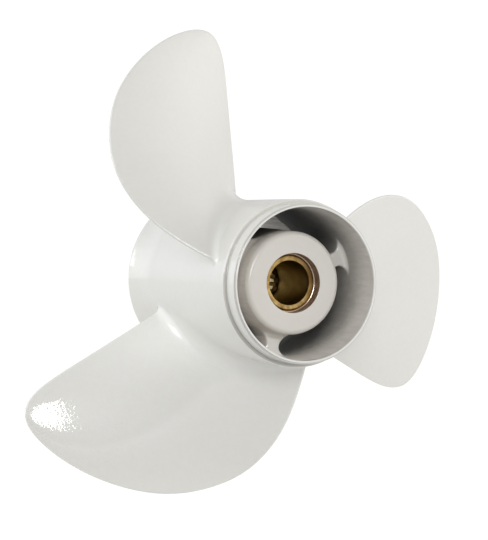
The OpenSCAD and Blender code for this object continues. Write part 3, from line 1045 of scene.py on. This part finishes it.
# ------------------------------------------------------------------ brass
def brass():
    material, g = new_material("turned_brass")
    # places in metres
    bore_edge, spline_front, tooth_tip, groove_side = 0.01442, 0.0425, 0.0120, 0.0122
    bevel_start, bevel_depth, bead_start, bead_depth = 0.0172, 0.0013, 0.01862, 0.0022
    position, radius, along = g.cylinder()
    x, _, z = g.split(position)
    # turning marks: waves per metre in radians, across the faces and along the bore
    face_marks = g.math("SINE", g.mul(radius, 21000.0))
    side_marks = g.math("SINE", g.mul(along, 16000.0))
    tarnish = g.noise(position, scale=130.0, detail=5.0, rough=0.6)
    spots = g.noise(position, scale=420.0, detail=4.0, rough=0.65)
    clean = g.ramp(spots, (0.25, (0.50, 0.345, 0.130)), (0.75, (0.77, 0.57, 0.24)))
    dark = g.ramp(spots, (0.2, (0.13, 0.062, 0.012)), (0.8, (0.30, 0.16, 0.04)))
    patches = g.ramp(tarnish, (0.40, grey(0)), (0.62, grey(1)))
    colour = g.mix(g.mul(patches, 0.8), clean, dark)
    # painted shade: the bore is darkened, most of all down in the spline's grooves
    colour = g.mix(g.mul(g.below(radius, bore_edge), 0.90), colour, (0.172, 0.112, 0.042))
    in_spline = g.above(along, spline_front)
    grooves = g.mul(in_spline, g.above(radius, groove_side))
    colour = g.mix(g.mul(grooves, 0.85), colour, (0.035, 0.020, 0.006))
    # painted highlight: the tooth tips in the spline are lightened
    lit_tooth_tips = g.mul(in_spline, g.below(radius, tooth_tip))
    colour = g.mix(lit_tooth_tips, colour, (0.78, 0.66, 0.45))
    # painted shade: the bevel falling away to the bead is darkened
    bevel = g.mul(g.above(radius, bevel_start), g.below(along, bevel_depth))
    colour = g.mix(g.mul(bevel, 0.30), colour, (0.22, 0.12, 0.035))
    # painted reflection: the face is browner towards +X and a little up, standing in for the darker side
    # of the turned face's reflection
    side = g.max(g.div(g.add(g.mul(x, 0.94), g.mul(z, 0.34)), radius), 0.0)
    side = g.mul(g.mul(side, side), g.above(radius, bore_edge))
    colour = g.mix(g.mul(side, 0.92), colour, (0.190, 0.108, 0.040))
    # painted highlight: the bead at the outer edge is coloured bright, and painted dimmer towards the top
    bead = g.mul(g.above(radius, bead_start), g.below(along, bead_depth))
    colour = g.mix(bead, colour, (0.95, 0.80, 0.66))
    upper = g.mul(g.div(z, radius), bead, clamp=True)
    colour = g.mix(g.mul(upper, 0.55), colour, (0.30, 0.22, 0.16))

    rough = g.sub(g.add(0.29, g.mul(tarnish, 0.22)), g.mul(bead, 0.14))
    marks = g.add(g.mul(face_marks, 0.5), g.mul(side_marks, 0.5))
    turned = g.bump(marks, strength=0.10, distance=0.00006)
    surface = g.node("BsdfPrincipled", {
        "Base Color": colour,
        "Metallic": 1.0,
        "Roughness": rough,
        "Anisotropic": 0.35,
        "Specular Tint": (0.90, 0.74, 0.50),
        "Normal": g.bump(spots, strength=0.15, distance=0.00008, normal=turned),
    })
    g.node("OutputMaterial", {0: surface.outputs[0]})
    return material


# ----------------------------------------------------------------- rubber
def black_rubber():
    material, g = new_material("moulded_rubber")
    position = g.position()
    mottle = g.noise(position, scale=90.0, detail=4.0, rough=0.6)
    grit = g.noise(position, scale=1500.0, rough=0.6)
    grit_bump = g.bump(grit, strength=0.35, distance=0.00015)
    surface = g.node("BsdfPrincipled", {
        "Base Color": g.ramp(mottle, (0.3, (0.022, 0.022, 0.023)), (0.7, (0.045, 0.044, 0.043))),
        "Roughness": g.add(0.55, g.mul(mottle, 0.25)),
        "Normal": g.bump(mottle, strength=0.25, distance=0.0004, normal=grit_bump),
    })
    g.node("OutputMaterial", {0: surface.outputs[0]})
    return material


# ----------------------------------------------------------------- pieces
ENAMEL, BRASS, RUBBER = enamel(), brass(), black_rubber()
build_casting().build("casting_skin", "painted_casting", "propeller", "propeller_casting",
                      ENAMEL, sharp_angle=40)
build_sleeve().build("brass_sleeve", "sleeve_brass", "drive_sleeve", "spline_sleeve",
                     BRASS, sharp_angle=38)
build_rubber().build("rubber_bush", "cushion_rubber", "cushion", "rubber_cushion",
                     RUBBER, sharp_angle=60)

# ------------------------------------------------------------------ stage
# The stage is in metres. Azimuth 0 is ahead of the propeller (-Y), + towards +X.
FLOOR_Z = min(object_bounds()[0][2], -TIP_R * MM) - 0.002  # low enough for any blade to pass
FLOOR_HALF = 6.0
WHITE_LEVEL = 1.05      # brightness of floor and world as the camera sees them
# glow of the floor: azimuth, brightness
FLOOR_GLOW = [(-135, 0.41), (-45, 0.0), (45, 0.55), (135, 0.43)]

COOL, WARM = (0.962, 0.983, 1.0), (1.0, 0.984, 0.962)
PANEL_FOCUS = 8.0       # power of the cosine: higher is narrower
# soft panels of the tent round the table: azimuth, elevation, brightness, tint
PANELS = [
    (-165, 8, 0.37, COOL), (-135, 8, 0.90, COOL), (-105, 8, 1.32, COOL),
    (-150, 48, 0.84, COOL), (-90, 48, 0.98, COOL), (-30, 48, 0.43, WARM),
    (-15, 8, 0.07, COOL), (15, 8, 0.20, WARM), (45, 8, 1.24, WARM), (75, 8, 0.89, WARM),
    (105, 8, 0.32, WARM), (135, 8, 0.65, WARM), (165, 8, 0.18, WARM),
    (90, 48, 0.69, WARM), (150, 48, 0.34, WARM)]


def toward(azimuth, elevation, distance):
    """The place at a distance from the origin in the given direction."""
    a, e = math.radians(azimuth), math.radians(elevation)
    return (distance * math.sin(a) * math.cos(e), -distance * math.cos(a) * math.cos(e),
            distance * math.sin(e))


def floor_material():
    """White to the camera; to the object, grey with an uneven glow."""
    material, g = new_material("pale_floor")
    position = g.position()
    mottle = g.noise(position, scale=30.0)
    colour = g.ramp(mottle, (0.3, grey(0.40)), (0.7, grey(0.43)))
    diffuse = g.node("BsdfDiffuse", {0: colour})
    camera_ray = g.node("LightPath").outputs["Is Camera Ray"]
    # the floor glows by the light of the tent, not equally all round
    level = g.vector("MULTIPLY", position, (1.0, 1.0, 0.0)).outputs[0]
    direction = g.vector("NORMALIZE", level).outputs[0]
    total = 0.0
    for azimuth, power in FLOOR_GLOW:
        dot = g.vector("DOT_PRODUCT", direction, toward(azimuth, 0, 1.0))
        part = g.max(dot.outputs["Value"], 0.0)
        total = g.add(total, g.mul(g.mul(part, part), power))
    glow = g.add(g.mul(total, g.sub(1.0, camera_ray)), g.mul(camera_ray, WHITE_LEVEL))
    emission = g.node("Emission", {0: (1.0, 0.992, 0.972), 1: glow})
    hidden = g.node("MixShader", {0: camera_ray, 1: diffuse.outputs[0]})
    surface = g.node("AddShader", {0: hidden.outputs[0], 1: emission.outputs[0]})
    g.node("OutputMaterial", {0: surface.outputs[0]})
    return material


def add_floor():
    mesh = bpy.data.meshes.new("floor")
    corners = [(x * FLOOR_HALF, y * FLOOR_HALF, FLOOR_Z)
               for x, y in ((-1, -1), (1, -1), (1, 1), (-1, 1))]
    mesh.from_pydata(corners, [], [(0, 1, 2, 3)])
    ob = bpy.data.objects.new("floor", mesh)
    bpy.context.scene.collection.objects.link(ob)
    mesh.materials.append(floor_material())


def add_world():
    """White to the camera; to the object, a tent of soft panels."""
    world = bpy.data.worlds.new("studio")
    bpy.context.scene.world = world
    world.use_nodes = True
    g = Graph(world.node_tree)
    background = world.node_tree.nodes["Background"]
    camera_ray = g.node("LightPath").outputs["Is Camera Ray"]
    direction = g.node("TexCoord").outputs["Generated"]
    glow = {}
    for azimuth, elevation, power, tint in PANELS:
        dot = g.vector("DOT_PRODUCT", direction, toward(azimuth, elevation, 1.0))
        lobe = g.math("POWER", g.max(dot.outputs["Value"], 0.0), PANEL_FOCUS)
        lobe = g.mul(lobe, power)
        glow[tint] = g.add(glow[tint], lobe) if tint in glow else lobe
    cool, warm = [g.mix(1.0, tint, lobes, "MULTIPLY") for tint, lobes in glow.items()]
    tent = g.mix(1.0, cool, warm, "ADD")
    g.feed(background.inputs[0], g.mix(camera_ray, tent, grey(WHITE_LEVEL)))
    g.feed(background.inputs[1], 1.0)


def box_light(name, spot, azimuth, elevation, distance, watts, width, height):
    """A softbox aimed at a spot of the object (x, y, z in mm), off in the given direction."""
    spot = Vector(spot) * MM
    place = spot + Vector(toward(azimuth, elevation, distance))
    data = bpy.data.lights.new(name, "AREA")
    data.energy = watts
    data.shape = "RECTANGLE"
    data.size = width
    data.size_y = height
    ob = bpy.data.objects.new(name, data)
    ob.location = place
    ob.rotation_euler = (spot - place).to_track_quat("-Z", "Y").to_euler()
    bpy.context.scene.collection.objects.link(ob)


def add_camera():
    """Nearly level, ahead of the propeller and towards -X."""
    azimuth, elevation = -26.38, 1.66
    back = Vector(toward(azimuth, elevation, 1.0))
    turn = math.radians(azimuth)
    right = Vector((math.cos(turn), math.sin(turn), 0))
    up = back.cross(right)
    # place seen from the centre of the barrel's forward rim, in mm
    eye = (back * 1438.00048 - right * 40.13588 + up * 8.87929) * MM
    data = bpy.data.cameras.new("camera")
    data.lens = 150.049333
    data.sensor_width = 36.0
    data.clip_start = 0.05
    camera = bpy.data.objects.new("camera", data)
    rotation = Matrix((right, up, back)).transposed().to_4x4()
    camera.matrix_world = Matrix.Translation(eye - Vector((0, ORIGIN_S * MM, 0))) @ rotation
    bpy.context.scene.collection.objects.link(camera)
    bpy.context.scene.camera = camera


add_floor()
add_world()
box_light("front_box", spot=(-133.6, 101.2, -87.7), azimuth=-17.2, elevation=17.5,
          distance=1.9, watts=11.2, width=0.475, height=0.67)
box_light("left_box", spot=(-47.5, 70.8, -29.9), azimuth=-104, elevation=19,
          distance=1.4, watts=1.15, width=0.36, height=0.40)
add_camera()

view = bpy.context.scene.view_settings
view.view_transform = "Standard"
view.look = "None"
view.exposure = 0.0
view.gamma = 1.0
